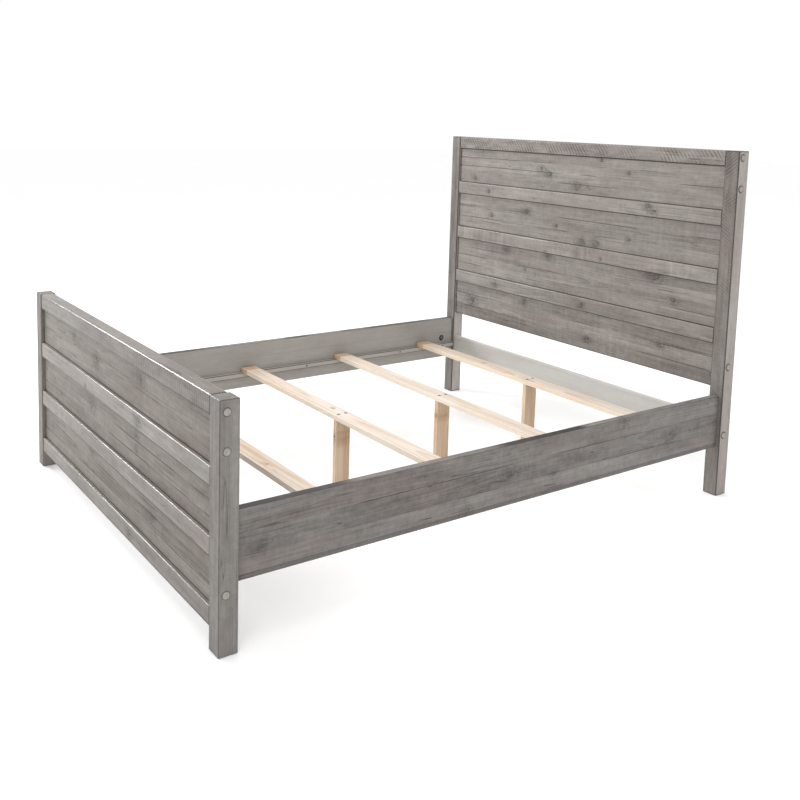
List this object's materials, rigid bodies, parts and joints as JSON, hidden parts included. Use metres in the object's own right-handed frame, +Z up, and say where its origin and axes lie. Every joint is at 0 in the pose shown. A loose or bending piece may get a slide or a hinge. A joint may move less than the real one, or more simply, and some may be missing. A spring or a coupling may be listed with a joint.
{
  "type": "wooden bed frame",
  "caption": "Slatted wooden bed frame with square posts, a tall planked headboard, a low planked footboard, side rails and loose slats on centre legs.",
  "frame": {"origin": "on the floor, under the middle of the frame", "axes": "+Y from the foot of the bed to the head, +X to the right of someone who looks towards the head, +Z up"},
  "size_m": [1.652, 2.158, 1.321],
  "materials": {
    "grey_post": "pine, grey weathered stain with sawn marks and worn edges, satin clear coat",
    "grey_batten": "pine, grey weathered stain with sawn marks and worn edges, satin clear coat",
    "grey_plank": "pine, grey weathered stain over grain and knots, satin clear coat",
    "grey_side_rail": "pine, grey weathered stain over grain and knots, satin clear coat",
    "grey_smooth_board": "board painted a plain light grey, low sheen",
    "grey_cleat": "strip of pine stained grey, low sheen",
    "grey_button": "turned wooden button stained grey",
    "pine_slat": "bare planed pine with small knots",
    "pine_leg": "bare planed pine, a little darker",
    "beech_dowel": "plain beech dowel",
    "zinc_screw": "zinc plated steel screw",
    "dark_screw": "steel screw with a dark phosphate coat",
    "zinc_bolt": "zinc plated steel"
  },
  "bodies": {
    "frame": {"cleat_left": "grey_cleat", "cleat_right": "grey_cleat", "cleat_screws_left": "dark_screw", "cleat_screws_right": "dark_screw", "foot_batten_1": "grey_batten", "foot_batten_2": "grey_batten", "foot_bottom_rail": "grey_batten", "foot_buttons_left": "grey_button", "foot_buttons_right": "grey_button", "foot_panel_dowels": "beech_dowel", "foot_plank_1": "grey_plank", "foot_plank_2": "grey_plank", "foot_plank_3": "grey_plank", "foot_post_left": "grey_post", "foot_post_right": "grey_post", "foot_post_screws_left": "zinc_screw", "foot_post_screws_right": "zinc_screw", "foot_top_rail": "grey_batten", "head_batten_1": "grey_batten", "head_batten_2": "grey_batten", "head_batten_3": "grey_batten", "head_buttons_left": "grey_button", "head_buttons_right": "grey_button", "head_panel_dowels": "beech_dowel", "head_plank_1": "grey_plank", "head_plank_2": "grey_plank", "head_plank_3": "grey_plank", "head_plank_4": "grey_plank", "head_post_left": "grey_post", "head_post_right": "grey_post", "head_post_screws_left": "zinc_screw", "head_post_screws_right": "zinc_screw", "head_stretcher": "grey_smooth_board", "head_top_rail": "grey_batten", "rail_dowels": "beech_dowel", "rail_half_moon_washers": "zinc_bolt", "rail_hanger_bolts": "zinc_bolt", "rail_nuts": "zinc_bolt", "side_rail_left": "grey_side_rail", "side_rail_right": "grey_side_rail"},
    "loose_slat_1": {"slat_1": "pine_slat", "slat_leg_1": "pine_leg", "slat_screws_1": "dark_screw"},
    "loose_slat_2": {"slat_2": "pine_slat", "slat_leg_2": "pine_leg", "slat_screws_2": "dark_screw"},
    "loose_slat_3": {"slat_3": "pine_slat", "slat_leg_3": "pine_leg", "slat_screws_3": "dark_screw"},
    "loose_slat_4": {"slat_4": "pine_slat", "slat_leg_4": "pine_leg", "slat_screws_4": "dark_screw"}
  },
  "joints": [
    {"name": "slat_1_lift", "type": "slide", "parent": "frame", "child": "loose_slat_1", "axis": [0, 0, 1], "range_m": [0, 0.42]},
    {"name": "slat_2_lift", "type": "slide", "parent": "frame", "child": "loose_slat_2", "axis": [0, 0, 1], "range_m": [0, 0.42]},
    {"name": "slat_3_lift", "type": "slide", "parent": "frame", "child": "loose_slat_3", "axis": [0, 0, 1], "range_m": [0, 0.42]},
    {"name": "slat_4_lift", "type": "slide", "parent": "frame", "child": "loose_slat_4", "axis": [0, 0, 1], "range_m": [0, 0.42]}
  ]
}
